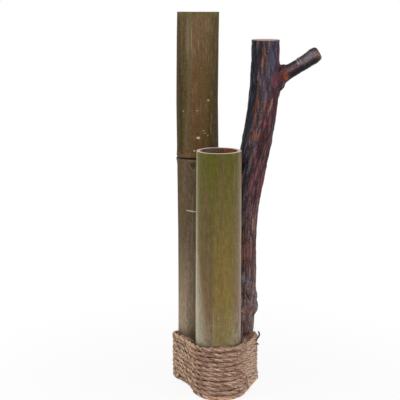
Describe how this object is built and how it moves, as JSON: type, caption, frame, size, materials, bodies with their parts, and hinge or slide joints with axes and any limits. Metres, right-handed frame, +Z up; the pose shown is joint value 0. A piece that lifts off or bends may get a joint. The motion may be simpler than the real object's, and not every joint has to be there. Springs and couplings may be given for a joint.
{
  "type": "bamboo vase",
  "caption": "Rustic vase of bamboo culms and a forked bark branch standing upright side by side, bound together at the foot with wound jute rope; the open culms hold stems.",
  "frame": {"origin": "centre of the short culm's foot, on the surface that the vase stands on", "axes": "+Z up along the culms, +X to the viewer's right, +Y away from the viewer"},
  "size_m": [0.1662, 0.1067, 0.43],
  "materials": {
    "bamboo_green": "natural waxy skin, streaked",
    "bamboo_brown": "weathered, satin",
    "bark": "rough bark",
    "jute": "laid fibre rope",
    "glue": "hot-melt, semi-clear"
  },
  "bodies": {
    "root": {"short_culm": "bamboo_green", "tall_culm": "bamboo_brown", "branch": "bark", "rope_binding": "jute", "glue_seam_culms": "glue", "glue_seam_short_branch": "glue", "glue_seam_tall_branch": "glue"}
  },
  "joints": []
}
